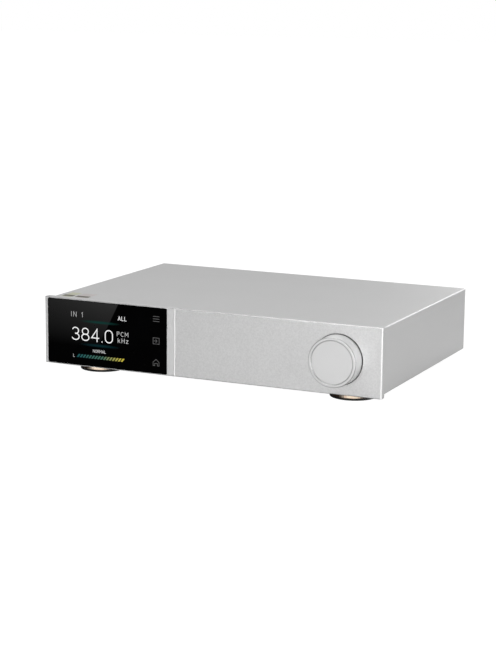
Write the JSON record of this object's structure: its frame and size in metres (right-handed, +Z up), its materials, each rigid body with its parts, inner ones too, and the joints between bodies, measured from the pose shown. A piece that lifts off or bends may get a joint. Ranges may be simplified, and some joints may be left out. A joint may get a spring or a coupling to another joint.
{
  "type": "desktop dac",
  "caption": "Low aluminium desktop digital-to-analogue converter on round feet, with a glass display and a turning, pressing knob on the front and audio, digital and mains sockets behind.",
  "frame": {"origin": "on the rest plane, under the middle of the bounding box", "axes": "+X to the right seen from the front, the front panel faces -Y, +Z up"},
  "size_m": [0.222, 0.1742, 0.0471],
  "materials": {
    "anodised_silver": "fine bead-blasted, clear anodised",
    "knob_silver": "turned smooth, clear anodised",
    "display_glass": "black-printed, polished",
    "screen": "smooth",
    "circuit_board": "solder mask, satin",
    "black_plastic": "fine moulded grain",
    "black_gloss": "smooth moulded",
    "white_plastic": "moulded",
    "steel": "zinc plated",
    "screw_silver": "nickel plated",
    "steel_black": "black oxide",
    "brass": "turned",
    "gold_plate": "gold plated, bright",
    "foot_metal": "champagne anodised, polished",
    "rubber": "moulded",
    "painted_base": "fine textured silver powder coat",
    "winding_wrap": "wrapped polyester tape",
    "can_sleeve": "shrink sleeve",
    "fuse_glass": "clear",
    "cable_grey": "flexible jacket",
    "lead_red": "flexible jacket",
    "black_metal": "black anodised"
  },
  "bodies": {
    "case": {"antenna_socket": "gold_plate", "base_screws": "screw_silver", "base_tray": "painted_base", "board_chips": "black_plastic", "board_headers": "white_plastic", "board_screws": "steel", "board_standoffs": "brass", "capacitors": "can_sleeve", "clock_oscillators": "steel", "control_board": "circuit_board", "display_glass": "display_glass", "encoder_board": "circuit_board", "encoder_body": "black_plastic", "encoder_bushing": "brass", "encoder_nut": "brass", "encoder_washer": "steel", "foot_nuts": "steel", "foot_pads": "rubber", "foot_rings": "foot_metal", "foot_screws": "steel", "front_panel": "anodised_silver", "front_panel_screws": "steel_black", "heatsink": "black_metal", "internal_leads": "lead_red", "lcd_module": "screen", "link_shell": "steel", "main_board": "circuit_board", "mains_blades": "steel", "mains_fuse": "fuse_glass", "mains_inlet": "black_plastic", "optical_body": "black_plastic", "output_relays": "white_plastic", "phono_inserts": "white_plastic", "phono_shells": "gold_plate", "port_tongues": "black_plastic", "power_board": "circuit_board", "power_switch_body": "black_plastic", "power_transformer": "winding_wrap", "rear_panel": "anodised_silver", "rear_panel_screws": "steel_black", "ribbon_cables": "cable_grey", "socket_nuts": "steel", "top_cover": "anodised_silver", "touch_board": "circuit_board", "transformer_bolt": "steel", "transformer_clamp": "steel", "transformer_pads": "rubber", "trigger_jacks": "black_plastic", "usb_shell": "steel", "xlr_input": "black_metal", "xlr_outputs": "black_metal", "xlr_pin_set": "gold_plate", "xlr_screws": "steel_black"},
    "knob_plunger": {"encoder_plunger": "white_plastic"},
    "knob": {"volume_knob": "knob_silver", "encoder_shaft": "steel", "knob_set_screw": "steel_black"},
    "rocker": {"power_rocker": "black_gloss"},
    "flap": {"optical_flap": "black_plastic"},
    "latch": {"xlr_latch": "steel"}
  },
  "joints": [
    {"name": "knob_press", "type": "slide", "parent": "case", "child": "knob_plunger", "axis": [0, 1, 0], "range_m": [0, 0.0005], "stiffness_N_per_m": 2000, "springref_m": -0.0005},
    {"name": "knob_spin", "type": "hinge", "parent": "knob_plunger", "child": "knob", "pos_m": [0.0841, -0.082, 0.0263], "axis": [0, 1, 0], "continuous": true},
    {"name": "power_switch", "type": "hinge", "parent": "case", "child": "rocker", "pos_m": [-0.058, 0.0775, 0.02635], "axis": [-1, 0, 0], "range_deg": [0, 20]},
    {"name": "optical_flap", "type": "hinge", "parent": "case", "child": "flap", "pos_m": [-0.022, 0.0776, 0.02265], "axis": [-1, 0, 0], "range_deg": [0, 85]},
    {"name": "xlr_latch", "type": "slide", "parent": "case", "child": "latch", "axis": [0, -1, 0], "range_m": [0, 0.0014], "stiffness_N_per_m": 500, "springref_m": -0.002}
  ]
}
